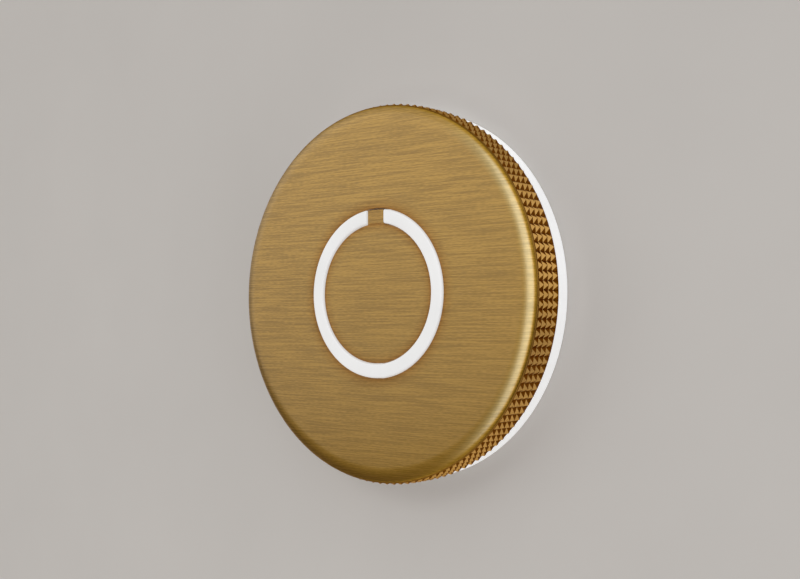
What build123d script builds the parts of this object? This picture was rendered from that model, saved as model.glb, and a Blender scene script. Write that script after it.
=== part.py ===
from build123d import *
import math
import os

# Touch doorbell button for a wall, in millimetres.
# The back of the base lies on the wall plane, y = 0. The face looks along -Y, and +Z is up.
# A depth is a distance out from the wall, and a radius is measured from the button's axis.

# Cap: turned brass cup
crest_diameter = 68.0
face_depth = 9.9
face_wall = 2.0
skirt_wall = 2.4
edge_step = 0.3
edge_arc_width = 2.8
edge_arc_drop = 0.7
edge_bevel_width = 0.2
edge_bevel_drop = 0.3

# Cross knurl on the rim: ring grooves crossed by tooth grooves
knurl_tooth_count = 133
knurl_row_count = 4
knurl_strip = 0.07
knurl_foot = 0.1
ring_groove_depth = 0.60
tooth_groove_depth = 0.55
tooth_flat = 0.12

# Base: opal moulding whose edge is the lit band against the wall
halo_height = 2.75
halo_step = 0.5
floor_thickness = 1.4
rim_wall = 1.8
rim_clearance = 0.4
rim_end_gap = 0.4

# Touch disc, the key tab at its top and the light ring round it
disc_radius = 12.45
disc_thickness = 1.4
disc_skirt_wall = 1.2
disc_flange_reach = 1.55
disc_flange_thickness = 1.0
disc_boss_radius = 2.5
disc_edge_chamfer = 0.08
tab_width = 3.8
tab_seam = 0.15
ring_width = 2.45
ring_proud = 0.35
ring_edge_chamfer = 0.25
ring_flange_reach = 3.45
ring_flange_thickness = 1.3
disc_clearance = 0.15
tab_clearance = 0.1
ring_clearance = 0.1
press_travel = 0.3
stop_gap = 0.2
end_gap = 0.3

# Circuit board and the parts on it
board_thickness = 1.6
board_stand_off = 1.2
board_clearance = 0.5
led_count = 12
led_length = 3.0
led_width = 1.4
led_height = 0.8
halo_led_inset = 2.9
baffle_wall = 0.8
baffle_window_length = 6.4
baffle_gap = 0.5
notch_gap = 0.4
switch_side = 5.2
switch_height = 1.5
switch_floor = 0.45
switch_cover_thickness = 0.2
switch_cover_side = 4.8
plunger_radius = 1.4
plunger_flange_reach = 0.5
plunger_flange_thickness = 0.35
plunger_clearance = 0.2
cushion_width = 2.2
cushion_gap = 0.05
terminal_length = 9.0
terminal_width = 5.0
terminal_height = 2.8
terminal_angle = 238
lever_length = 2.4
lever_width = 2.0
lever_height = 0.4
wire_hole_radius = 0.7
chip_length = 4.9
chip_width = 3.9
chip_height = 1.5
chip_angle = 120
rectifier_length = 4.7
rectifier_width = 3.9
rectifier_height = 2.4
rectifier_angle = 300
leg_width = 0.45
leg_reach = 0.9
leg_height = 0.5
capacitor_length = 7.3
capacitor_width = 4.3
capacitor_height = 2.8
capacitor_angle = 60
capacitor_bevel = 0.5
resistor_length = 3.2
resistor_width = 1.6
resistor_height = 0.6
resistor_count = 3
resistor_first_angle = 24
resistor_last_angle = 44

# Fixings, cable entry and seals
boss_count = 3
boss_radius = 2.6
boss_inset = 3.9
board_screw_radius = 0.9
board_screw_length = 3.2
board_screw_head_radius = 1.9
board_screw_head_height = 1.0
screw_clearance = 0.05
board_hole_clearance = 0.2
fixing_slot_length = 7.0
fixing_slot_width = 3.8
fixing_edge_gap = 2.9
fixing_notch_width = 8.6
cable_bore_radius = 2.4
grommet_neck_wall = 1.6
grommet_lip = 0.9
grommet_lip_thickness = 0.8
grommet_clearance = 0.1
grommet_edge_gap = 0.8
cable_notch_width = 9.6
gasket_width = 1.6
gasket_thickness = 1.0
gasket_edge_gap = 1.2
gasket_clearance = 0.1
seal_inset = 0.1
grub_radius = 1.25
grub_setback = 2.0
grub_recess = 0.9
grub_point_depth = 0.7
grub_point_chamfer = 0.4
grub_socket_radius = 0.7
grub_socket_depth = 1.4

# Radii that follow from the rim inwards
crest_radius = crest_diameter / 2
edge_radius = crest_radius - edge_step
skirt_inner_radius = crest_radius - skirt_wall
halo_radius = crest_radius - halo_step
rim_outer_radius = skirt_inner_radius - rim_clearance
rim_inner_radius = rim_outer_radius - rim_wall
board_radius = rim_inner_radius - board_clearance

# Radii that follow from the disc outwards
ring_inner_radius = disc_radius + disc_clearance
ring_outer_radius = ring_inner_radius + ring_width
cap_hole_radius = ring_outer_radius + ring_clearance
tab_radius = cap_hole_radius - tab_seam
disc_flange_radius = disc_radius + disc_flange_reach
ring_flange_radius = ring_outer_radius + ring_flange_reach
baffle_inner_radius = disc_flange_radius + baffle_gap
baffle_outer_radius = ring_flange_radius + baffle_gap
baffle_middle_radius = (baffle_inner_radius + baffle_outer_radius) / 2
notch_inner_radius = baffle_outer_radius + notch_gap
component_radius = (notch_inner_radius + board_radius) / 2

# Depths out from the wall
cap_inner_depth = face_depth - face_wall
edge_rear_depth = face_depth - edge_arc_drop - edge_bevel_drop
knurl_front_depth = edge_rear_depth - knurl_strip
knurl_row_pitch = (knurl_front_depth - halo_height) / knurl_row_count
knurl_step = knurl_row_pitch / 2
rim_depth = cap_inner_depth - rim_end_gap
board_rear_depth = floor_thickness + board_stand_off
board_front_depth = board_rear_depth + board_thickness
ring_flange_depth = cap_inner_depth - ring_flange_thickness
ring_front_depth = face_depth + ring_proud
disc_rear_depth = face_depth - disc_thickness
disc_flange_front_depth = ring_flange_depth - stop_gap
disc_flange_rear_depth = disc_flange_front_depth - disc_flange_thickness
switch_top_depth = board_front_depth + switch_height
switch_well_depth = board_front_depth + switch_floor
plunger_rear_depth = switch_well_depth + press_travel + end_gap
plunger_shoulder_depth = plunger_rear_depth + plunger_flange_thickness
plunger_front_depth = switch_top_depth + switch_cover_thickness + press_travel + end_gap + end_gap

# Places of the fixings, the cable entry and the cap's screw
fixing_offset = rim_inner_radius - fixing_edge_gap - fixing_slot_length / 2
boss_circle_radius = board_radius - boss_inset
halo_led_circle_radius = board_radius - halo_led_inset
grommet_neck_radius = cable_bore_radius + grommet_neck_wall
grommet_lip_radius = grommet_neck_radius + grommet_lip
cable_drop = rim_inner_radius - grommet_lip_radius - grommet_edge_gap
gasket_outer_radius = halo_radius - gasket_edge_gap
gasket_inner_radius = gasket_outer_radius - gasket_width
grub_depth = halo_height + grub_setback
grub_outer_radius = crest_radius - grub_recess
grub_inner_radius = rim_outer_radius - grub_point_depth

# Cuts run past the faces that they open by this much
cut_over = 1.0

# Section through the axis: radius along +X, depth along -Y
section = Plane(origin=(0, 0, 0), x_dir=(1, 0, 0), z_dir=(0, 0, -1))


def at_depth(depth):
    """Plane parallel to the wall, seen from the front, with X to the right and Z up."""
    return Plane.XZ.offset(depth)


def knurl_radius(depth):
    """Radius of the knurl's ridged rings: lowest at each ring groove, highest halfway between two."""
    rows_back = (knurl_front_depth - depth) / knurl_row_pitch
    groove_share = 1 - 2 * abs(rows_back - round(rows_back))
    return crest_radius - ring_groove_depth * groove_share


# Cap: ridged rings crossed by tooth grooves make the knurl, the rounded front closes it, and it is bored out
with BuildPart() as cap:
    for step in range(2 * knurl_row_count + 1):
        ring_depth = knurl_front_depth - step * knurl_step
        with BuildSketch(at_depth(ring_depth)):
            RegularPolygon(knurl_radius(ring_depth), knurl_tooth_count, major_radius=False)
    loft(ruled=True)
    tooth_pitch = math.pi * crest_diameter / knurl_tooth_count
    tooth_slope = (tooth_pitch - tooth_flat) / 2 / tooth_groove_depth
    tooth_half_width = tooth_slope * (tooth_groove_depth + cut_over)
    with BuildSketch(at_depth(halo_height - cut_over)):
        with PolarLocations(crest_radius, knurl_tooth_count):
            Polygon(
                (-tooth_groove_depth, 0),
                (cut_over, -tooth_half_width),
                (cut_over, tooth_half_width),
                align=None,
            )
    extrude(amount=knurl_front_depth - halo_height + cut_over, mode=Mode.SUBTRACT)
    with BuildSketch(section):
        with BuildLine():
            bevel_radius = edge_radius - edge_bevel_width
            edge_arc = TangentArc(
                (bevel_radius - edge_arc_width, face_depth),
                (bevel_radius, face_depth - edge_arc_drop),
                tangent=(1, 0),
            )
            Polyline(
                edge_arc @ 1,
                (edge_radius, edge_rear_depth),
                (crest_radius - ring_groove_depth - knurl_foot, knurl_front_depth),
                (0, knurl_front_depth),
                (0, face_depth),
                edge_arc @ 0,
            )
        make_face()
    revolve(axis=Axis.Y)
    with BuildSketch(at_depth(halo_height)):
        Circle(skirt_inner_radius)
    extrude(amount=cap_inner_depth - halo_height, mode=Mode.SUBTRACT)
    with BuildSketch(at_depth(cap_inner_depth)):
        Circle(cap_hole_radius)
    extrude(amount=face_wall, mode=Mode.SUBTRACT)
    with BuildSketch(Plane.XY.offset(-crest_radius - cut_over)):
        with Locations((0, -grub_depth)):
            Circle(grub_radius + screw_clearance)
    extrude(amount=skirt_wall + 2 * cut_over, mode=Mode.SUBTRACT)

# Halo base: floor, lit edge, upstanding rim inside the cap, and three bosses for the board
with BuildPart() as halo_base:
    with BuildSketch(section):
        with BuildLine():
            Polyline(
                (0, 0),
                (halo_radius, 0),
                (halo_radius, halo_height),
                (rim_outer_radius, halo_height),
                (rim_outer_radius, rim_depth),
                (rim_inner_radius, rim_depth),
                (rim_inner_radius, floor_thickness),
                (0, floor_thickness),
                close=True,
            )
        make_face()
    revolve(axis=Axis.Y)
    with BuildSketch(at_depth(0)):
        Circle(gasket_outer_radius + gasket_clearance)
        Circle(gasket_inner_radius - gasket_clearance, mode=Mode.SUBTRACT)
    extrude(amount=gasket_thickness, mode=Mode.SUBTRACT)
    with BuildSketch(at_depth(floor_thickness)):
        with PolarLocations(boss_circle_radius, boss_count, start_angle=90):
            Circle(boss_radius)
    extrude(amount=board_stand_off)
    with BuildSketch(at_depth(board_front_depth - board_screw_length - screw_clearance)):
        with PolarLocations(boss_circle_radius, boss_count, start_angle=90):
            Circle(board_screw_radius + screw_clearance)
    extrude(amount=board_screw_length, mode=Mode.SUBTRACT)
    with BuildSketch(at_depth(0)):
        with Locations((-fixing_offset, 0), (fixing_offset, 0)):
            SlotOverall(fixing_slot_length, fixing_slot_width)
        with Locations((0, -cable_drop)):
            Circle(grommet_neck_radius + grommet_clearance)
    extrude(amount=floor_thickness, mode=Mode.SUBTRACT)
    with BuildSketch(Plane.XY.offset(-rim_outer_radius - cut_over)):
        with Locations((0, -grub_depth)):
            Circle(grub_radius + screw_clearance)
    extrude(amount=grub_point_depth + screw_clearance + cut_over, mode=Mode.SUBTRACT)

# Wall gasket: foam ring, flush with the back of the base when the button is screwed down
with BuildPart() as wall_gasket:
    with BuildSketch(at_depth(0)):
        Circle(gasket_outer_radius)
        Circle(gasket_inner_radius, mode=Mode.SUBTRACT)
    extrude(amount=gasket_thickness)

# Cap seal: flat silicone ring between the end of the base's rim and the inside of the cap
with BuildPart() as cap_seal:
    with BuildSketch(at_depth(rim_depth)):
        Circle(rim_outer_radius - seal_inset)
        Circle(rim_inner_radius + seal_inset, mode=Mode.SUBTRACT)
    extrude(amount=rim_end_gap)

# Cable grommet: rubber neck through the floor, with a lip inside
with BuildPart() as cable_grommet:
    with BuildSketch(at_depth(0)):
        with Locations((0, -cable_drop)):
            Circle(grommet_neck_radius)
    extrude(amount=floor_thickness)
    with BuildSketch(at_depth(floor_thickness)):
        with Locations((0, -cable_drop)):
            Circle(grommet_lip_radius)
    extrude(amount=grommet_lip_thickness)
    with BuildSketch(at_depth(0)):
        with Locations((0, -cable_drop)):
            Circle(cable_bore_radius)
    extrude(amount=floor_thickness + grommet_lip_thickness, mode=Mode.SUBTRACT)

# Circuit board: round, notched over the fixing slots and the cable entry
with BuildPart() as circuit_board:
    with BuildSketch(at_depth(board_rear_depth)):
        Circle(board_radius)
        notch_length = board_radius - notch_inner_radius + cut_over
        notch_middle_radius = notch_inner_radius + notch_length / 2
        with Locations((-notch_middle_radius, 0), (notch_middle_radius, 0)):
            Rectangle(notch_length, fixing_notch_width, mode=Mode.SUBTRACT)
        with Locations((0, -notch_middle_radius)):
            Rectangle(cable_notch_width, notch_length, mode=Mode.SUBTRACT)
        with PolarLocations(boss_circle_radius, boss_count, start_angle=90):
            Circle(board_screw_radius + board_hole_clearance, mode=Mode.SUBTRACT)
    extrude(amount=board_thickness)

# Board screws: pan heads on the board, shanks in the bosses
with BuildPart() as board_screws:
    with BuildSketch(at_depth(board_front_depth - board_screw_length)):
        with PolarLocations(boss_circle_radius, boss_count, start_angle=90):
            Circle(board_screw_radius)
    extrude(amount=board_screw_length)
    with BuildSketch(at_depth(board_front_depth)):
        with PolarLocations(boss_circle_radius, boss_count, start_angle=90):
            Circle(board_screw_head_radius)
    extrude(amount=board_screw_head_height)

# Ring LEDs on the front of the board, one in each window of the baffle
led_first_angle = 180 / led_count
with BuildPart() as ring_leds:
    with BuildSketch(at_depth(board_front_depth)):
        with PolarLocations(baffle_middle_radius, led_count, start_angle=led_first_angle):
            Rectangle(led_width, led_length)
    extrude(amount=led_height)

# Halo LEDs on the back of the board, shining into the opal floor
with BuildPart() as halo_leds:
    with BuildSketch(at_depth(board_rear_depth)):
        with PolarLocations(halo_led_circle_radius, led_count, start_angle=led_first_angle):
            Rectangle(led_width, led_length)
    extrude(amount=-led_height)

# LED baffle: white ring between the board and the light ring, with a window over each LED
with BuildPart() as led_baffle:
    with BuildSketch(at_depth(board_front_depth)):
        Circle(baffle_outer_radius)
        Circle(baffle_inner_radius, mode=Mode.SUBTRACT)
        window_width = baffle_outer_radius - baffle_inner_radius - 2 * baffle_wall
        with PolarLocations(baffle_middle_radius, led_count, start_angle=led_first_angle):
            Rectangle(window_width, baffle_window_length, mode=Mode.SUBTRACT)
    extrude(amount=ring_flange_depth - board_front_depth)

# Light ring: flange behind the cap's face and a rib up through it, open at the top for the key tab
with BuildPart() as light_ring:
    with BuildSketch(section) as ring_profile:
        with BuildLine():
            Polyline(
                (ring_inner_radius, ring_flange_depth),
                (ring_flange_radius, ring_flange_depth),
                (ring_flange_radius, cap_inner_depth),
                (ring_outer_radius, cap_inner_depth),
                (ring_outer_radius, ring_front_depth),
                (ring_inner_radius, ring_front_depth),
                close=True,
            )
        make_face()
        front_corners = ring_profile.vertices().group_by(Axis.Y)[-1]
        chamfer(front_corners, ring_edge_chamfer)
    revolve(axis=Axis.Y)
    with BuildSketch(at_depth(ring_flange_depth)):
        Rectangle(tab_width + 2 * tab_clearance, cap_hole_radius, align=(Align.CENTER, Align.MIN))
        Circle(ring_inner_radius - disc_clearance, mode=Mode.SUBTRACT)
    extrude(amount=ring_front_depth - ring_flange_depth, mode=Mode.SUBTRACT)

# Touch disc: thin cup with a key tab in the ring's gap, a rear flange behind the ring and a boss
with BuildPart() as touch_disc:
    with BuildSketch(section):
        with BuildLine():
            Polyline(
                (0, plunger_front_depth),
                (disc_boss_radius, plunger_front_depth),
                (disc_boss_radius, disc_rear_depth),
                (disc_radius - disc_skirt_wall, disc_rear_depth),
                (disc_radius - disc_skirt_wall, disc_flange_rear_depth),
                (disc_flange_radius, disc_flange_rear_depth),
                (disc_flange_radius, disc_flange_front_depth),
                (disc_radius, disc_flange_front_depth),
                (disc_radius, face_depth),
                (0, face_depth),
                close=True,
            )
        make_face()
    revolve(axis=Axis.Y)
    with BuildSketch(at_depth(disc_rear_depth)):
        Rectangle(tab_width, cap_hole_radius, align=(Align.CENTER, Align.MIN))
        Circle(tab_radius, mode=Mode.INTERSECT)
    extrude(amount=disc_thickness)
    chamfer(touch_disc.faces().sort_by(Axis.Y)[0].outer_wire().edges(), disc_edge_chamfer)

# Switch body: square moulding on the board with a round well for the plunger
with BuildPart() as switch_body:
    with BuildSketch(at_depth(board_front_depth)):
        Rectangle(switch_side, switch_side)
    extrude(amount=switch_height)
    with BuildSketch(at_depth(switch_well_depth)):
        Circle(plunger_radius + plunger_flange_reach + plunger_clearance)
    extrude(amount=switch_height - switch_floor, mode=Mode.SUBTRACT)

# Switch cover: pressed steel plate that keeps the plunger in
with BuildPart() as switch_cover:
    with BuildSketch(at_depth(switch_top_depth)):
        Rectangle(switch_cover_side, switch_cover_side)
        Circle(plunger_radius + plunger_clearance, mode=Mode.SUBTRACT)
    extrude(amount=switch_cover_thickness)

# Switch plunger: stem under the disc's boss, with a flange inside the well
with BuildPart() as switch_plunger:
    with BuildSketch(at_depth(plunger_rear_depth)):
        Circle(plunger_radius + plunger_flange_reach)
    extrude(amount=plunger_flange_thickness)
    with BuildSketch(at_depth(plunger_shoulder_depth)):
        Circle(plunger_radius)
    extrude(amount=plunger_front_depth - plunger_shoulder_depth)

# Disc cushion: soft silicone ring between the board and the disc's flange
with BuildPart() as disc_cushion:
    with BuildSketch(at_depth(board_front_depth)):
        Circle(disc_flange_radius - cushion_gap)
        Circle(disc_flange_radius - cushion_gap - cushion_width, mode=Mode.SUBTRACT)
    extrude(amount=disc_flange_rear_depth - board_front_depth - cushion_gap)

# Terminal block: push-in block for two wires, with its mouths towards the cable entry
with BuildPart() as terminal_block:
    with BuildSketch(at_depth(board_front_depth)):
        with PolarLocations(component_radius, 1, start_angle=terminal_angle):
            Rectangle(terminal_width, terminal_length)
    extrude(amount=terminal_height - lever_height)
    mouth_face = terminal_block.faces().filter_by(GeomType.PLANE).sort_by(Axis.X)[-1]
    with BuildSketch(Plane(mouth_face)):
        with GridLocations(terminal_width / 2, 0, 2, 1):
            Circle(wire_hole_radius)
    extrude(amount=-lever_length, mode=Mode.SUBTRACT)

# Terminal levers: two release levers on the block
with BuildPart() as terminal_levers:
    with BuildSketch(at_depth(board_front_depth + terminal_height - lever_height)):
        with PolarLocations(component_radius, 1, start_angle=terminal_angle):
            with GridLocations(terminal_width / 2, 0, 2, 1):
                Rectangle(lever_width, lever_length)
    extrude(amount=lever_height)

# Controller chip: moulded body with two rows of legs
with BuildPart() as controller_chip:
    with BuildSketch(at_depth(board_front_depth)):
        with PolarLocations(component_radius, 1, start_angle=chip_angle):
            Rectangle(chip_width, chip_length)
    extrude(amount=chip_height)
    with BuildSketch(at_depth(board_front_depth)):
        with PolarLocations(component_radius, 1, start_angle=chip_angle):
            with GridLocations(0, chip_length / 4, 1, 4):
                Rectangle(chip_width + 2 * leg_reach, leg_width)
    extrude(amount=leg_height)

# Bridge rectifier: moulded body with four legs
with BuildPart() as bridge_rectifier:
    with BuildSketch(at_depth(board_front_depth)):
        with PolarLocations(component_radius, 1, start_angle=rectifier_angle):
            Rectangle(rectifier_width, rectifier_length)
    extrude(amount=rectifier_height)
    with BuildSketch(at_depth(board_front_depth)):
        with PolarLocations(component_radius, 1, start_angle=rectifier_angle):
            with GridLocations(0, rectifier_length / 2, 1, 2):
                Rectangle(rectifier_width + 2 * leg_reach, leg_width)
    extrude(amount=leg_height)

# Smoothing capacitor: moulded block with one bevelled end
with BuildPart() as smoothing_capacitor:
    with BuildSketch(at_depth(board_front_depth)):
        with PolarLocations(component_radius, 1, start_angle=capacitor_angle):
            Rectangle(capacitor_width, capacitor_length)
    extrude(amount=capacitor_height)
    chamfer(smoothing_capacitor.faces().sort_by(Axis.Y)[0].edges().sort_by(Axis.Z)[-1], capacitor_bevel)

# Resistors: a short row of chips
with BuildPart() as resistors:
    with BuildSketch(at_depth(board_front_depth)):
        with PolarLocations(
            component_radius,
            resistor_count,
            start_angle=resistor_first_angle,
            angular_range=resistor_last_angle - resistor_first_angle,
            endpoint=True,
        ):
            Rectangle(resistor_length, resistor_width)
    extrude(amount=resistor_height)

# Cap grub screw: socket set screw through the skirt, with its point in the base's rim
with BuildPart() as cap_grub_screw:
    with BuildSketch(Plane.XY.offset(-grub_outer_radius)):
        with Locations((0, -grub_depth)):
            Circle(grub_radius)
    extrude(amount=grub_outer_radius - grub_inner_radius)
    chamfer(cap_grub_screw.faces().sort_by(Axis.Z)[-1].edges(), grub_point_chamfer)
    with BuildSketch(Plane.XY.offset(-grub_outer_radius)):
        with Locations((0, -grub_depth)):
            RegularPolygon(grub_socket_radius, 6)
    extrude(amount=grub_socket_depth, mode=Mode.SUBTRACT)

# One file for each piece
pieces = {
    "cap": cap,
    "touch_disc": touch_disc,
    "light_ring": light_ring,
    "halo_base": halo_base,
    "wall_gasket": wall_gasket,
    "cap_seal": cap_seal,
    "cap_grub_screw": cap_grub_screw,
    "circuit_board": circuit_board,
    "board_screws": board_screws,
    "ring_leds": ring_leds,
    "halo_leds": halo_leds,
    "led_baffle": led_baffle,
    "switch_body": switch_body,
    "switch_cover": switch_cover,
    "switch_plunger": switch_plunger,
    "disc_cushion": disc_cushion,
    "terminal_block": terminal_block,
    "terminal_levers": terminal_levers,
    "controller_chip": controller_chip,
    "bridge_rectifier": bridge_rectifier,
    "smoothing_capacitor": smoothing_capacitor,
    "resistors": resistors,
    "cable_grommet": cable_grommet,
}
os.makedirs("parts", exist_ok=True)
for name, piece in pieces.items():
    piece.part.label = name
    export_step(piece.part, f"parts/{name}.step")
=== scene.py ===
import math
import bmesh
import bpy
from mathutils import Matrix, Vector


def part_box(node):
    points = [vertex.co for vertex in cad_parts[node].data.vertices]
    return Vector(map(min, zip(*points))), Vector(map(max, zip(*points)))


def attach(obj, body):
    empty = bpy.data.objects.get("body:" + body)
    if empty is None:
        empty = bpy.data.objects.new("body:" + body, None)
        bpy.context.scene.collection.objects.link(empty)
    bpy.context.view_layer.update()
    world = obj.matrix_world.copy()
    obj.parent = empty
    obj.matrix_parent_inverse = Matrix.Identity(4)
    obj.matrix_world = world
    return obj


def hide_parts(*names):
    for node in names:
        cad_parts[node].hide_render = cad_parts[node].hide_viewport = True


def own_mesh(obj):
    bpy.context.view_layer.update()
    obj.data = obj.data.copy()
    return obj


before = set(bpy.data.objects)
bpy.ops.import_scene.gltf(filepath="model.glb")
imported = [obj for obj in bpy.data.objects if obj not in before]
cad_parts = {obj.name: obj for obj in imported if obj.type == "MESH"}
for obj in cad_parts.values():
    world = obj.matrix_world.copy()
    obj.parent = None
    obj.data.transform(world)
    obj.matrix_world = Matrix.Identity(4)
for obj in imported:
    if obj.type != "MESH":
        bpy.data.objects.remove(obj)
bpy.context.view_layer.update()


# Back gasket: a die-cut ring of black closed-cell foam, glued into a groove in the back of the
# base. It is pressed flush with the base when the button is screwed down, and keeps rain out.
def open_finish(name):
    """A new finish, its node tree and its shader."""
    finish = bpy.data.materials.new(name)
    finish.use_nodes = True
    return finish, finish.node_tree, finish.node_tree.nodes["Principled BSDF"]


def grain(tree, per_metre, detail):
    """A noise over the piece's own place, with so many cycles per metre along X, Y and Z."""
    place = tree.nodes.new("ShaderNodeTexCoord")
    stretch = tree.nodes.new("ShaderNodeMapping")
    stretch.inputs["Scale"].default_value = per_metre
    noise = tree.nodes.new("ShaderNodeTexNoise")
    noise.inputs["Scale"].default_value = 1.0
    noise.inputs["Detail"].default_value = detail
    noise.inputs["Roughness"].default_value = 0.55
    tree.links.new(place.outputs["Object"], stretch.inputs["Vector"])
    tree.links.new(stretch.outputs["Vector"], noise.inputs["Vector"])
    return noise.outputs["Fac"]


def tint(tree, value, dark, light, low=0.3, high=0.7):
    """A colour between a dark and a light tone, following a noise."""
    ramp = tree.nodes.new("ShaderNodeValToRGB")
    ramp.color_ramp.elements[0].position = low
    ramp.color_ramp.elements[0].color = (*dark, 1.0)
    ramp.color_ramp.elements[1].position = high
    ramp.color_ramp.elements[1].color = (*light, 1.0)
    tree.links.new(value, ramp.inputs["Fac"])
    return ramp.outputs["Color"]


def between(tree, value, lowest, highest, low=0.25, high=0.75):
    """A number between two limits, following a noise."""
    span = tree.nodes.new("ShaderNodeMapRange")
    span.inputs["From Min"].default_value = low
    span.inputs["From Max"].default_value = high
    span.inputs["To Min"].default_value = lowest
    span.inputs["To Max"].default_value = highest
    tree.links.new(value, span.inputs["Value"])
    return span.outputs["Result"]


def relief(tree, shader, value, height, strength=1.0):
    """Fine relief of so many metres, following a noise."""
    bump = tree.nodes.new("ShaderNodeBump")
    bump.inputs["Distance"].default_value = height
    bump.inputs["Strength"].default_value = strength
    tree.links.new(value, bump.inputs["Height"])
    tree.links.new(bump.outputs["Normal"], shader.inputs["Normal"])


def plain_finish(name, dark, light, roughness, grain_size, relief_height):
    """A moulded or rubbery finish: cloudy colour, uneven sheen, a grain of so many metres."""
    finish, tree, shader = open_finish(name)
    cloud_scale = 160.0
    sheen_spread = 0.08
    fine = grain(tree, (1 / grain_size,) * 3, detail=5.0)
    clouds = grain(tree, (cloud_scale,) * 3, detail=2.0)
    sheen = between(tree, fine, roughness - sheen_spread, roughness + sheen_spread)
    tree.links.new(tint(tree, clouds, dark, light), shader.inputs["Base Color"])
    tree.links.new(sheen, shader.inputs["Roughness"])
    relief(tree, shader, fine, relief_height)
    return finish


def dress(node, finish, crisp_angle=24):
    """Gives a carried-over piece its finish, with smooth curves and crisp edges."""
    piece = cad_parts[node]
    for place in piece.material_slots:
        place.material = finish
    piece.data.shade_smooth()
    piece.data.set_sharp_from_angle(angle=math.radians(crisp_angle))


gasket_foam = plain_finish(
    "gasket_foam", dark=(0.016, 0.016, 0.017), light=(0.030, 0.030, 0.031),
    roughness=0.88, grain_size=0.0003, relief_height=0.00006,
)
dress("wall_gasket", gasket_foam)


# Base: an opal white plastic moulding that carries everything and is held by two screws through
# its slots. Its edge shows as the lit band behind the cap, glowing from the lamps inside, and its
# upstanding rim locates the cap.
def opal_finish(name, dark, light, glow, roughness):
    """Milky plastic lit from inside: a soft white with faint flow clouds and an even glow."""
    finish, tree, shader = open_finish(name)
    cloud_scale = 90.0
    grain_scale = 5200.0
    sheen_spread = 0.05
    glow_dark, glow_light = (0.96, 0.96, 0.955), (1.0, 1.0, 0.995)
    clouds = grain(tree, (cloud_scale,) * 3, detail=3.0)
    fine = grain(tree, (grain_scale,) * 3, detail=3.0)
    sheen = between(tree, fine, roughness - sheen_spread, roughness + sheen_spread)
    glow_tone = tint(tree, clouds, glow_dark, glow_light)
    tree.links.new(tint(tree, clouds, dark, light), shader.inputs["Base Color"])
    tree.links.new(sheen, shader.inputs["Roughness"])
    tree.links.new(glow_tone, shader.inputs["Emission Color"])
    shader.inputs["Emission Strength"].default_value = glow
    shader.inputs["IOR"].default_value = 1.49
    relief(tree, shader, fine, height=0.00001, strength=0.5)
    return finish


opal_base = opal_finish(
    "opal_base", dark=(0.62, 0.62, 0.615), light=(0.68, 0.68, 0.675), glow=0.50, roughness=0.45
)
dress("halo_base", opal_base)


# Cable grommet: a black rubber bush in the cable entry of the base, where the two bell wires come
# in. It is snapped into its hole and held there by two lips.
grommet_rubber = plain_finish(
    "grommet_rubber", dark=(0.012, 0.012, 0.012), light=(0.022, 0.022, 0.021),
    roughness=0.7, grain_size=0.0005, relief_height=0.00003,
)
dress("cable_grommet", grommet_rubber)


# Circuit board: a round glass-fibre board with white solder mask, on three bosses of the base.
# Three pan-head steel screws hold it down.
board_mask = plain_finish(
    "board_mask", dark=(0.66, 0.68, 0.66), light=(0.74, 0.76, 0.74),
    roughness=0.38, grain_size=0.0004, relief_height=0.00001,
)
dress("circuit_board", board_mask)


def steel_finish(name, dark, light, roughness):
    """Plain or plated steel with fine drawing lines along X."""
    finish, tree, shader = open_finish(name)
    line_scale = (300.0, 9000.0, 9000.0)
    sheen_spread = 0.07
    lines = grain(tree, line_scale, detail=4.0)
    sheen = between(tree, lines, roughness - sheen_spread, roughness + sheen_spread)
    shader.inputs["Metallic"].default_value = 1.0
    tree.links.new(tint(tree, lines, dark, light), shader.inputs["Base Color"])
    tree.links.new(sheen, shader.inputs["Roughness"])
    relief(tree, shader, lines, height=0.000006)
    return finish


screw_steel = steel_finish(
    "screw_steel", dark=(0.30, 0.30, 0.31), light=(0.42, 0.42, 0.42), roughness=0.36
)
dress("board_screws", screw_steel)


# Lamps: two rings of twelve small flat lamps, soldered to the front and the back of the board.
# Each is a white frame filled with clear resin over yellow phosphor.
lamp_resin, lamp_tree, lamp_shader = open_finish("lamp_resin")
speck_scale = 2600.0
phosphor_dark, phosphor_light = (0.72, 0.58, 0.16), (0.90, 0.80, 0.36)
specks = grain(lamp_tree, (speck_scale,) * 3, detail=3.0)
phosphor_tone = tint(lamp_tree, specks, phosphor_dark, phosphor_light)
lamp_sheen = between(lamp_tree, specks, lowest=0.12, highest=0.24)
lamp_tree.links.new(phosphor_tone, lamp_shader.inputs["Base Color"])
lamp_tree.links.new(lamp_sheen, lamp_shader.inputs["Roughness"])
lamp_shader.inputs["Coat Weight"].default_value = 0.6
lamp_shader.inputs["Coat Roughness"].default_value = 0.08
relief(lamp_tree, lamp_shader, specks, height=0.00001)
dress("ring_leds", lamp_resin)
dress("halo_leds", lamp_resin)


# Light baffle: a ring moulded in white plastic, with a window over each front lamp. It lies
# between the board and the light ring, and sends the lamps' light forward.
baffle_white = plain_finish(
    "baffle_white", dark=(0.74, 0.74, 0.73), light=(0.80, 0.80, 0.79),
    roughness=0.55, grain_size=0.0003, relief_height=0.00001,
)
dress("led_baffle", baffle_white)


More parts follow.
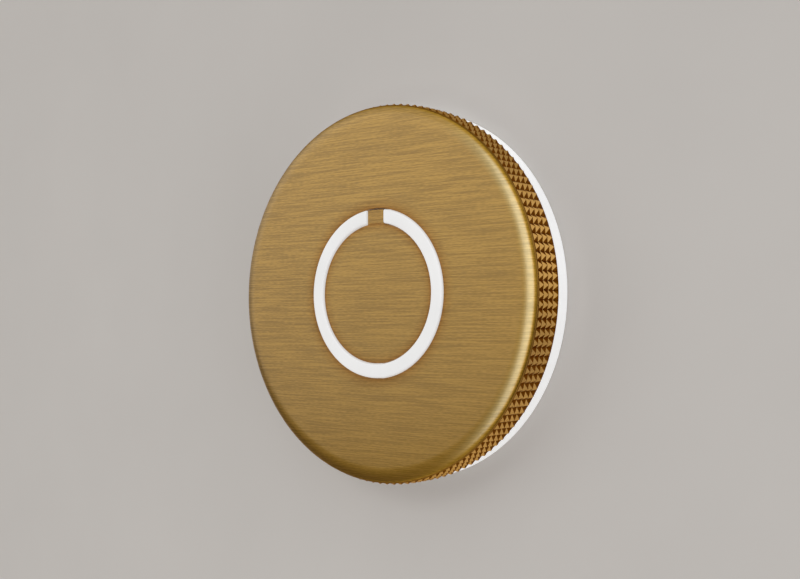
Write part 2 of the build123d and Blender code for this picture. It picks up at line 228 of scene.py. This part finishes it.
# Board parts: black and ochre resin packages, and a white plastic terminal block, all soldered to
# the board. The block takes the two bell wires, and its orange levers let them go again.
package_black = plain_finish(
    "package_black", dark=(0.014, 0.014, 0.015), light=(0.026, 0.026, 0.027),
    roughness=0.5, grain_size=0.0002, relief_height=0.00001,
)
for package in ("controller_chip", "bridge_rectifier", "resistors"):
    dress(package, package_black)
capacitor_resin = plain_finish(
    "capacitor_resin", dark=(0.42, 0.24, 0.030), light=(0.52, 0.31, 0.045),
    roughness=0.42, grain_size=0.0003, relief_height=0.00001,
)
dress("smoothing_capacitor", capacitor_resin)
dress("terminal_block", baffle_white)
lever_orange = plain_finish(
    "lever_orange", dark=(0.50, 0.11, 0.012), light=(0.58, 0.14, 0.018),
    roughness=0.45, grain_size=0.0003, relief_height=0.00001,
)
dress("terminal_levers", lever_orange)


# Tactile switch: a low square switch soldered to the middle of the board, with a black plastic
# body under a pressed steel cover. Its own black stem moves with the press disc.
dress("switch_body", package_black)
cover_steel = steel_finish(
    "cover_steel", dark=(0.44, 0.44, 0.45), light=(0.58, 0.58, 0.58), roughness=0.28
)
dress("switch_cover", cover_steel)
dress("switch_plunger", package_black)


# Disc cushion: a moulded ring of soft milky silicone that lies under the press disc's flange. It
# lifts the disc back, keeps water out of the switch, and flattens a little as the disc goes in.
mm_per_metre = 1000


def round_corners(outline, steps=5):
    """An outline of (radius, depth) points from corners of (radius, depth, rounding), in mm."""
    points = []
    for spot, (radius, depth, rounding) in enumerate(outline):
        corner = Vector((radius, depth))
        if rounding == 0:
            points.append(tuple(corner))
            continue
        to_last = (Vector(outline[spot - 1][:2]) - corner).normalized()
        to_next = (Vector(outline[(spot + 1) % len(outline)][:2]) - corner).normalized()
        half = to_last.angle(to_next) / 2
        centre = corner + (to_last + to_next).normalized() * rounding / math.sin(half)
        start = corner + to_last * rounding / math.tan(half) - centre
        end = corner + to_next * rounding / math.tan(half) - centre
        sweep = start.angle(end)
        for step in range(steps + 1):
            share = step / steps
            from_start = start * math.sin((1 - share) * sweep)
            from_end = end * math.sin(share * sweep)
            points.append(tuple(centre + (from_start + from_end) / math.sin(sweep)))
    return points


def make_piece(name, points, faces, crisp_angle=30):
    """A closed piece from points of (across, out from the back, up) in millimetres."""
    weld_distance = 1e-7
    body = bmesh.new()
    corners = [
        body.verts.new((across / mm_per_metre, -out / mm_per_metre, up / mm_per_metre))
        for across, out, up in points
    ]
    for face in faces:
        body.faces.new([corners[corner] for corner in face])
    bmesh.ops.remove_doubles(body, verts=body.verts, dist=weld_distance)
    bmesh.ops.recalc_face_normals(body, faces=body.faces)
    mesh = bpy.data.meshes.new(name)
    body.to_mesh(mesh)
    body.free()
    mesh.shade_smooth()
    mesh.set_sharp_from_angle(angle=math.radians(crisp_angle))
    piece = bpy.data.objects.new(name, mesh)
    bpy.context.collection.objects.link(piece)
    return piece


def ring_faces(columns, rows):
    """Faces that join columns of points round the axis into one closed ring."""
    faces = []
    for column in range(columns):
        here, there = column * rows, (column + 1) % columns * rows
        for row in range(rows):
            after = (row + 1) % rows
            faces.append((here + row, here + after, there + after, there + row))
    return faces


cushion_low, cushion_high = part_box("disc_cushion")
cushion_rear = -cushion_high.y * mm_per_metre
cushion_front = -cushion_low.y * mm_per_metre
cushion_outer = cushion_high.x * mm_per_metre
cushion_width = 2.2
cushion_inner = cushion_outer - cushion_width
foot_rounding = 0.15
crown_rounding = 0.5
cushion_steps = 160
cushion_outline = round_corners([
    (cushion_inner, cushion_rear, foot_rounding), (cushion_outer, cushion_rear, foot_rounding),
    (cushion_outer, cushion_front, crown_rounding), (cushion_inner, cushion_front, crown_rounding),
])
cushion_points = []
for step in range(cushion_steps):
    angle = 2 * math.pi * step / cushion_steps
    for radius, depth in cushion_outline:
        cushion_points.append((radius * math.cos(angle), depth, radius * math.sin(angle)))
cushion_faces = ring_faces(cushion_steps, len(cushion_outline))
cushion = make_piece("cushion_ring", cushion_points, cushion_faces)
silicone = plain_finish(
    "silicone", dark=(0.56, 0.57, 0.57), light=(0.64, 0.65, 0.65),
    roughness=0.6, grain_size=0.0004, relief_height=0.00001,
)
silicone_shader = silicone.node_tree.nodes["Principled BSDF"]
silicone_shader.inputs["Subsurface Weight"].default_value = 0.2
silicone_shader.inputs["Subsurface Scale"].default_value = 0.001
cushion.data.materials.append(silicone)
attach(cushion, "housing")
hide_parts("disc_cushion")
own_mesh(cushion)


# Light ring: a milky white plastic moulding held under the cap by its flange. Its rib stands up
# through the cap's hole round the press disc, slightly proud of the face, and is cut through at
# 12 o'clock for the disc's key tab.
ring_low, ring_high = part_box("light_ring")
rib_front = -ring_low.y * mm_per_metre
rib_inner = 12.6
rib_outer = 15.05
rib_middle = (rib_inner + rib_outer) / 2
rib_rounding = 0.32
flange_rear = -ring_high.y * mm_per_metre
flange_outer = ring_high.x * mm_per_metre
flange_thickness = 1.3
flange_front = flange_rear + flange_thickness
flange_rounding = 0.1
gap_half = 2.0
gap_rounding = 0.2
gap_inner = 15.15
ring_outline = round_corners([
    (rib_inner, flange_rear, flange_rounding), (flange_outer, flange_rear, flange_rounding),
    (flange_outer, flange_front, flange_rounding), (rib_outer, flange_front, 0),
    (rib_outer, rib_front, rib_rounding), (rib_inner, rib_front, rib_rounding),
])


def gap_point(radius, depth, across):
    """The point of the ring at a set distance to the right of the upright middle line."""
    return (across, depth, math.sqrt(radius ** 2 - across ** 2))


flange_outline = [(max(r, gap_inner), min(d, flange_front)) for r, d in ring_outline]
ring_columns = []
for across in (-gap_half, -gap_half / 2, 0, gap_half / 2, gap_half):
    ring_columns.append([gap_point(r, d, across) for r, d in flange_outline])
end_steps = 3
rib_foot = flange_front + 0.01
end_columns = []
for step in range(end_steps + 1):
    lean = math.pi / 2 * step / end_steps
    inset = gap_rounding * (1 - math.sin(lean))
    narrowing = 1 - inset / (rib_outer - rib_middle)
    across = gap_half + gap_rounding * (1 - math.cos(lean))
    end_columns.append([
        (rib_middle + (r - rib_middle) * narrowing, d - inset, across)
        if d > rib_foot else (r, d, across) for r, d in ring_outline
    ])
for column in end_columns:
    ring_columns.append([gap_point(r, d, across) for r, d, across in column])
ring_steps = 240
for step in range(1, ring_steps):
    column = []
    for r, d in ring_outline:
        from_top = math.asin((gap_half + gap_rounding) / r)
        angle = from_top + step / ring_steps * (2 * math.pi - 2 * from_top)
        column.append((r * math.sin(angle), d, r * math.cos(angle)))
    ring_columns.append(column)
for column in reversed(end_columns):
    ring_columns.append([gap_point(r, d, -across) for r, d, across in column])
ring_points = [point for column in ring_columns for point in column]
lit_ring = make_piece("lit_ring", ring_points, ring_faces(len(ring_columns), len(ring_outline)))
opal_ring = opal_finish(
    "opal_ring", dark=(0.36, 0.36, 0.357), light=(0.40, 0.40, 0.397), glow=0.51, roughness=0.38
)
lit_ring.data.materials.append(opal_ring)
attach(lit_ring, "housing")
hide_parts("light_ring")


# Press disc: a turned brass disc with a key tab at 12 o'clock, brushed across together with the
# cap, so that the lines run on from one to the other. It is guided by the light ring and moves
# straight in on the switch below.
def blend_tones(tree, share, first, second):
    """A colour that goes from a first to a second as a share goes from 0 to 1."""
    mix = tree.nodes.new("ShaderNodeMix")
    mix.data_type = "RGBA"
    tree.links.new(share, mix.inputs[0])
    tree.links.new(first, mix.inputs[6])
    tree.links.new(second, mix.inputs[7])
    return mix.outputs[2]


def fade(tree, value, start, end):
    """A share that goes softly from 0 to 1 between two values."""
    span = tree.nodes.new("ShaderNodeMapRange")
    span.interpolation_type = "SMOOTHSTEP"
    span.inputs["From Min"].default_value = start
    span.inputs["From Max"].default_value = end
    tree.links.new(value, span.inputs["Value"])
    return span.outputs["Result"]


def less(tree, value, taken):
    """A share with another share of it taken away."""
    lost = tree.nodes.new("ShaderNodeMath")
    lost.operation = "MULTIPLY"
    lost.inputs[1].default_value = -1.0
    rest = tree.nodes.new("ShaderNodeMath")
    rest.operation = "MULTIPLY_ADD"
    rest.use_clamp = True
    tree.links.new(taken, lost.inputs[0])
    tree.links.new(lost.outputs["Value"], rest.inputs[0])
    tree.links.new(value, rest.inputs[1])
    tree.links.new(value, rest.inputs[2])
    return rest.outputs["Value"]


def along(tree, coordinate, axis):
    """One axis of a place or of a facing."""
    place = tree.nodes.new("ShaderNodeTexCoord")
    axes = tree.nodes.new("ShaderNodeSeparateXYZ")
    tree.links.new(place.outputs[coordinate], axes.inputs["Vector"])
    return axes.outputs[axis]


def axis_distance(tree):
    """Each point's distance from the button's axis, in metres."""
    place = tree.nodes.new("ShaderNodeTexCoord")
    flat = tree.nodes.new("ShaderNodeVectorMath")
    flat.operation = "MULTIPLY"
    flat.inputs[1].default_value = (1.0, 0.0, 1.0)
    length = tree.nodes.new("ShaderNodeVectorMath")
    length.operation = "LENGTH"
    tree.links.new(place.outputs["Object"], flat.inputs[0])
    tree.links.new(flat.outputs["Vector"], length.inputs[0])
    return length.outputs["Value"]


brushed_brass, brass_tree, brass_shader = open_finish("brushed_brass")
short_line_scale = (1000.0, 1000.0, 8500.0)
long_line_scale = (150.0, 150.0, 7000.0)
long_line_share = 0.58
brush_lines = brass_tree.nodes.new("ShaderNodeMix")
brush_lines.inputs["Factor"].default_value = long_line_share
brass_tree.links.new(grain(brass_tree, short_line_scale, detail=0.0), brush_lines.inputs["A"])
brass_tree.links.new(grain(brass_tree, long_line_scale, detail=0.0), brush_lines.inputs["B"])
brush_mark = brush_lines.outputs["Result"]

# Painted highlight: the rounded front edge is painted in a paler brass on its right side, where the
# front lamp's highlight falls. It fades out towards the left and stops short of the outer lip.
highlight_start, highlight_full = 0.0308, 0.0324
lip_start, lip_full = 0.0328, 0.0333
left_side_start, left_side_full = 0.027, 0.012
from_axis = axis_distance(brass_tree)
left_side = fade(brass_tree, along(brass_tree, "Object", "X"), left_side_start, left_side_full)
outer_lip = fade(brass_tree, from_axis, lip_start, lip_full)
painted_edge_highlight = fade(brass_tree, from_axis, highlight_start, highlight_full)
painted_edge_highlight = less(brass_tree, less(brass_tree, painted_edge_highlight, left_side), outer_lip)

# Painted shade: the brass is painted a darker brown in bands just outside and just inside the light
# ring, and faintly across the key tab, where the ring shades the face.
ring_shade_span = 20.0
ring_shade_stops = (
    (10.6, 0.0), (11.8, 0.35), (12.4, 1.0), (12.7, 0.25),
    (15.0, 0.25), (15.2, 1.0), (16.0, 0.35), (17.4, 0.0),
)
across_face = brass_tree.nodes.new("ShaderNodeMapRange")
across_face.inputs["From Max"].default_value = ring_shade_span / mm_per_metre
brass_tree.links.new(from_axis, across_face.inputs["Value"])
ring_shade_ramp = brass_tree.nodes.new("ShaderNodeValToRGB")
while len(ring_shade_ramp.color_ramp.elements) < len(ring_shade_stops):
    ring_shade_ramp.color_ramp.elements.new(1.0)
for stop, (radius, share) in zip(ring_shade_ramp.color_ramp.elements, ring_shade_stops):
    stop.position = radius / ring_shade_span
    stop.color = (share, share, share, 1.0)
brass_tree.links.new(across_face.outputs["Result"], ring_shade_ramp.inputs["Fac"])
painted_ring_shade = ring_shade_ramp.outputs["Color"]


def brushed_tone(dark, light):
    """A tone of the brass, darker and lighter along the brush lines."""
    return tint(brass_tree, brush_mark, dark, light, low=0.36, high=0.64)


plain_tone = brushed_tone(dark=(0.38, 0.211, 0.018), light=(0.56, 0.321, 0.044))
# The paler tone of the painted edge highlight, and the plain tone with it blended in.
painted_highlight_tone = brushed_tone(dark=(0.37, 0.270, 0.092), light=(0.47, 0.342, 0.122))
ring_shade_tone = brushed_tone(dark=(0.31, 0.150, 0.038), light=(0.45, 0.222, 0.062))
tone_with_highlight = blend_tones(brass_tree, painted_edge_highlight, plain_tone, painted_highlight_tone)
brass_tone = blend_tones(brass_tree, painted_ring_shade, tone_with_highlight, ring_shade_tone)
brass_sheen = between(brass_tree, brush_mark, lowest=0.48, highest=0.36)
# The lacquer fades out at the outer lip and is left off where the shade beside the ring is painted.
lacquer_end, lacquer_full = 0.0334, 0.0329
lacquer = less(brass_tree, fade(brass_tree, from_axis, lacquer_end, lacquer_full), painted_ring_shade)
brass_tree.links.new(brass_tone, brass_shader.inputs["Base Color"])
brass_tree.links.new(brass_sheen, brass_shader.inputs["Roughness"])
brass_tree.links.new(lacquer, brass_shader.inputs["Coat Weight"])
brass_shader.inputs["Metallic"].default_value = 1.0
brass_shader.inputs["Anisotropic"].default_value = 0.5
brass_shader.inputs["Anisotropic Rotation"].default_value = 0.25
brass_shader.inputs["Coat Roughness"].default_value = 0.22
brass_shader.inputs["Coat IOR"].default_value = 1.65
relief(brass_tree, brass_shader, brush_mark, height=0.000012)
dress("touch_disc", brushed_brass)


# Cap seal: a flat ring stamped from milky silicone sheet. It is pressed between the end of the
# base's rim and the inside of the cap, and keeps rain away from the board.
dress("cap_seal", silicone)


# Cap: a turned brass cup. Its face is brushed across and lacquered, its front edge is rounded, and
# its rim has four rows of cross knurling and a hole drilled from below. It slides over the base's
# rim, and the set screw in that hole holds it.
cap_low, cap_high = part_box("cap")
face_depth = -cap_low.y * mm_per_metre
cap_rear = -cap_high.y * mm_per_metre
crest_radius = -cap_low.x * mm_per_metre
face_thickness = 2.0
skirt_thickness = 2.4
inner_face = face_depth - face_thickness
skirt_inner = crest_radius - skirt_thickness
hole_radius = 15.15
hole_edge = 0.06
edge_setback = 0.3
edge_radius = crest_radius - edge_setback
edge_width = 3.0
edge_drop = 1.0
edge_steps = 16
flat_end = edge_radius - edge_width
front_rows = [
    (hole_radius, inner_face), (hole_radius, face_depth - hole_edge),
    (hole_radius + hole_edge, face_depth),
]
for share in (0.33, 0.67):
    front_rows.append((hole_radius + (flat_end - hole_radius) * share, face_depth))
for step in range(edge_steps + 1):
    lean = math.pi / 2 * step / edge_steps
    edge_reach = edge_radius - edge_width * (1 - math.sin(lean))
    front_rows.append((edge_reach, face_depth - edge_drop * (1 - math.cos(lean))))

knurl_setback = 0.07
knurl_front = face_depth - edge_drop - knurl_setback
rear_land = 0.25
land_setback = 0.5
land_radius = crest_radius - land_setback
row_count = 4
row_pitch = (knurl_front - cap_rear - rear_land) / row_count
row_groove = 0.60
tooth_groove = 0.55
crest_flat = 0.12
groove_floor = crest_radius - row_groove
knurl_rows = [(groove_floor, groove_floor, knurl_front)]
for row in range(row_count):
    row_front = knurl_front - row * row_pitch
    crest_middle = row_front - row_pitch / 2
    for depth in (crest_middle + crest_flat / 2, crest_middle - crest_flat / 2):
        knurl_rows.append((crest_radius, crest_radius - tooth_groove, depth))
    knurl_rows.append((groove_floor, groove_floor, row_front - row_pitch))
inside_rows = [
    (land_radius, cap_rear + rear_land), (land_radius, cap_rear),
    (skirt_inner, cap_rear), (skirt_inner, inner_face),
]

knurl_teeth = 133
tooth_columns = 3
tooth_angle = 2 * math.pi / knurl_teeth
flat_angle = crest_flat / crest_radius
column_angles = []
for tooth in range(knurl_teeth):
    column_angles.append((tooth * tooth_angle, True))
    column_angles.append(((tooth + 0.5) * tooth_angle - flat_angle / 2, False))
    column_angles.append(((tooth + 0.5) * tooth_angle + flat_angle / 2, False))
cap_points = []
for angle, in_groove in column_angles:
    cap_rows = list(front_rows)
    cap_rows += [(groove if in_groove else crest, depth) for crest, groove, depth in knurl_rows]
    cap_rows += inside_rows
    for radius, depth in cap_rows:
        cap_points.append((radius * math.cos(angle), depth, radius * math.sin(angle)))

cap_row_count = len(front_rows) + len(knurl_rows) + len(inside_rows)
first_knurl = len(front_rows)
last_knurl = first_knurl + len(knurl_rows) - 1
cap_faces = []
for face in ring_faces(len(column_angles), cap_row_count):
    here, after, beyond, there = face
    row = here % cap_row_count
    leaves_groove = (here // cap_row_count) % tooth_columns == 0
    enters_groove = (there // cap_row_count) % tooth_columns == 0
    if not first_knurl <= row < last_knurl or not (leaves_groove or enters_groove):
        cap_faces.append(face)
        continue
    rises = knurl_rows[row - first_knurl + 1][0] > knurl_rows[row - first_knurl][0]
    if rises == leaves_groove:
        cap_faces += [(here, after, beyond), (here, beyond, there)]
    else:
        cap_faces += [(here, after, there), (after, beyond, there)]
cap_crisp_angle = 22
brass_cap = make_piece("brass_cap", cap_points, cap_faces, cap_crisp_angle)

screw_low, screw_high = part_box("cap_grub_screw")
screw_clearance = 0.05
screw_hole_radius = screw_high.x * mm_per_metre + screw_clearance
screw_hole_depth = -(screw_low.y + screw_high.y) / 2 * mm_per_metre
drill_overrun = 1.0
drill_sides = 48
drill_points = []
for up in (-crest_radius - drill_overrun, drill_overrun - skirt_inner):
    for side in range(drill_sides):
        turn = 2 * math.pi * side / drill_sides
        across = screw_hole_radius * math.cos(turn)
        drill_points.append((across, screw_hole_depth + screw_hole_radius * math.sin(turn), up))
drill_faces = [tuple(range(drill_sides)), tuple(range(drill_sides, 2 * drill_sides))]
for side in range(drill_sides):
    after = (side + 1) % drill_sides
    drill_faces.append((side, after, drill_sides + after, drill_sides + side))
drill = make_piece("drill", drill_points, drill_faces)
screw_hole = brass_cap.modifiers.new("screw_hole", "BOOLEAN")
screw_hole.operation = "DIFFERENCE"
screw_hole.solver = "EXACT"
screw_hole.object = drill
drilled_view = brass_cap.evaluated_get(bpy.context.evaluated_depsgraph_get())
drilled_cap = bpy.data.meshes.new_from_object(drilled_view)
brass_cap.modifiers.remove(screw_hole)
bpy.data.objects.remove(drill)
brass_cap.data = drilled_cap
drilled_cap.shade_smooth()
drilled_cap.set_sharp_from_angle(angle=math.radians(cap_crisp_angle))


def cut_finish(name, shaded_dark, shaded_light, open_dark, open_light):
    """Cut brass with painted shade: dark brown where the faces turn sideways, paler where they face
    forward.
    """
    finish, tree, shader = open_finish(name)
    mark_scale = (900.0, 2600.0, 900.0)
    facing_start, facing_full = -0.15, -0.5
    tool_marks = grain(tree, mark_scale, detail=4.0)
    # Painted shade: faces turned sideways get the shaded tones, faces turned to the front the
    # lighter open tones.
    facing_front = fade(tree, along(tree, "Normal", "Y"), facing_start, facing_full)
    shaded_tone = tint(tree, tool_marks, shaded_dark, shaded_light)
    open_tone = tint(tree, tool_marks, open_dark, open_light)
    cut_tone = blend_tones(tree, facing_front, shaded_tone, open_tone)
    cut_sheen = between(tree, tool_marks, lowest=0.24, highest=0.36)
    tree.links.new(cut_tone, shader.inputs["Base Color"])
    tree.links.new(cut_sheen, shader.inputs["Roughness"])
    shader.inputs["Metallic"].default_value = 1.0
    shader.inputs["Specular Tint"].default_value = (0.90, 0.66, 0.42, 1.0)
    relief(tree, shader, tool_marks, height=0.000004)
    return finish


# Knurling: the flanks turned sideways are painted dark brown as shade, the faces turned forward a
# lighter brass.
knurled_brass = cut_finish(
    "knurled_brass", shaded_dark=(0.17, 0.052, 0.006), shaded_light=(0.24, 0.080, 0.011),
    open_dark=(0.46, 0.248, 0.062), open_light=(0.56, 0.314, 0.090),
)
# Painted shade: a darker copy of the cut finish for the steep outer end of the rounded edge, just
# in front of the knurling.
shaded_corner_brass = cut_finish(
    "shaded_corner_brass", shaded_dark=(0.13, 0.045, 0.006), shaded_light=(0.18, 0.065, 0.010),
    open_dark=(0.22, 0.105, 0.016), open_light=(0.28, 0.140, 0.024),
)
for finish in (brushed_brass, knurled_brass, shaded_corner_brass):
    brass_cap.data.materials.append(finish)
knurl_place, corner_place = 1, 2
outside_from = skirt_inner + 0.5
corner_front = face_depth - edge_drop * 0.6
# Faces on the outside go to the knurled finish, and those on the steep end of the edge to the
# painted-shade corner finish.
for face in brass_cap.data.polygons:
    reach = math.hypot(face.center.x, face.center.z) * mm_per_metre
    out = -face.center.y * mm_per_metre
    if reach > outside_from and out < corner_front:
        face.material_index = knurl_place if out < knurl_front else corner_place
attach(brass_cap, "housing")
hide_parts("cap")


# Set screw: a short plated steel screw with a hexagon socket. It is let into the underside of the
# rim at 6 o'clock, and its tip holds the cap on the base.
dress("cap_grub_screw", screw_steel)


# Studio: a plain pale painted backdrop behind the button and a plain pale floor below. Both are
# seen from their fronts only, so that views from behind and below stay open.
def stage_plane(name, corners, colour):
    """A large plain sheet of the studio that lets views through from behind."""
    mesh = bpy.data.meshes.new(name)
    mesh.from_pydata(corners, [], [(0, 1, 2, 3)])
    sheet = bpy.data.objects.new(name, mesh)
    bpy.context.collection.objects.link(sheet)
    finish, tree, shader = open_finish(name + "_paint")
    cloud_scale = 25.0
    cloud_shade = 0.97
    clouds = grain(tree, (cloud_scale,) * 3, detail=3.0)
    paint_tone = tint(tree, clouds, [part * cloud_shade for part in colour], colour)
    tree.links.new(paint_tone, shader.inputs["Base Color"])
    shader.inputs["Roughness"].default_value = 0.9
    clear = tree.nodes.new("ShaderNodeBsdfTransparent")
    side = tree.nodes.new("ShaderNodeNewGeometry")
    mix = tree.nodes.new("ShaderNodeMixShader")
    tree.links.new(side.outputs["Backfacing"], mix.inputs["Fac"])
    tree.links.new(shader.outputs["BSDF"], mix.inputs[1])
    tree.links.new(clear.outputs["BSDF"], mix.inputs[2])
    tree.links.new(mix.outputs["Shader"], tree.nodes["Material Output"].inputs["Surface"])
    mesh.materials.append(finish)
    sheet.visible_shadow = False
    sheet.visible_diffuse = False
    return sheet


stage_reach = 3
backdrop_gap = 0.0002
floor_height = -1.5
stage_corners = [
    (-stage_reach, -stage_reach), (stage_reach, -stage_reach),
    (stage_reach, stage_reach), (-stage_reach, stage_reach),
]
stage_plane(
    "studio_wall", [(across, backdrop_gap, up) for across, up in stage_corners],
    colour=(0.62, 0.595, 0.565),
)
floor = stage_plane(
    "studio_floor", [(across, back, floor_height) for across, back in stage_corners],
    colour=(0.74, 0.71, 0.68),
)
floor.visible_glossy = False


# Light: a pale room that is darker below, with four soft lamps. A tall one in front rounds the edge
# of the cap, a wide dim one on the left lights its face, and a tall slim one on the right and one
# below light the knurling.
def soft_lamp(name, azimuth, elevation, distance, width, height, power):
    """A soft lamp of so many metres by so many, aimed at the button."""
    turn, rise = math.radians(azimuth), math.radians(elevation)
    level = math.cos(rise)
    out = Vector((math.sin(turn) * level, -math.cos(turn) * level, math.sin(rise)))
    light = bpy.data.lights.new(name, "AREA")
    light.shape = "RECTANGLE"
    light.size = width
    light.size_y = height
    light.energy = power
    lamp = bpy.data.objects.new(name, light)
    lamp.location = out * distance
    lamp.rotation_mode = "QUATERNION"
    lamp.rotation_quaternion = (-out).to_track_quat("-Z", "Y")
    lamp.visible_camera = False
    bpy.context.collection.objects.link(lamp)
    return light


soft_lamp(
    "front_lamp", azimuth=2, elevation=0, distance=1.2, width=0.7, height=1.6, power=7.0
)
soft_lamp(
    "left_lamp", azimuth=-47, elevation=11, distance=1.4, width=1.0, height=1.0, power=1.55
)
right_light = soft_lamp(
    "right_lamp", azimuth=71, elevation=0, distance=0.75, width=0.22, height=2.7, power=2.1
)
right_light.color = (0.95, 1.0, 1.10)
soft_lamp(
    "low_lamp", azimuth=90, elevation=-80, distance=0.28, width=0.2, height=0.45, power=0.25
)

room = bpy.data.worlds.new("room")
bpy.context.scene.world = room
room.use_nodes = True
room_tree = room.node_tree
room_dark, room_light = (0.09, 0.06, 0.035), (0.55, 0.55, 0.55)
room_height = room_tree.nodes.new("ShaderNodeMapRange")
room_height.inputs["From Min"].default_value = -1.0
room_height.inputs["From Max"].default_value = 1.0
room_tree.links.new(along(room_tree, "Generated", "Z"), room_height.inputs["Value"])
room_tone = tint(
    room_tree, room_height.outputs["Result"], room_dark, room_light, low=0.40, high=0.60
)
room_tree.links.new(room_tone, room_tree.nodes["Background"].inputs["Color"])


# Camera: a normal lens to the right of the button and level with it, close enough that the
# perspective shows. It looks a little to the left of the button's middle.
eye = Vector((0.13256, -0.16496, -0.00603))
aim = Vector((-0.00148, -0.00124, 0.00094))
lens = bpy.data.cameras.new("camera")
lens.sensor_width = 36.0
lens.lens = 51.51
lens.clip_start = 0.005
camera = bpy.data.objects.new("camera", lens)
camera.location = eye
camera.rotation_mode = "QUATERNION"
camera.rotation_quaternion = (aim - eye).to_track_quat("-Z", "Y")
bpy.context.collection.objects.link(camera)
bpy.context.scene.camera = camera
bpy.context.scene.view_settings.view_transform = "Standard"
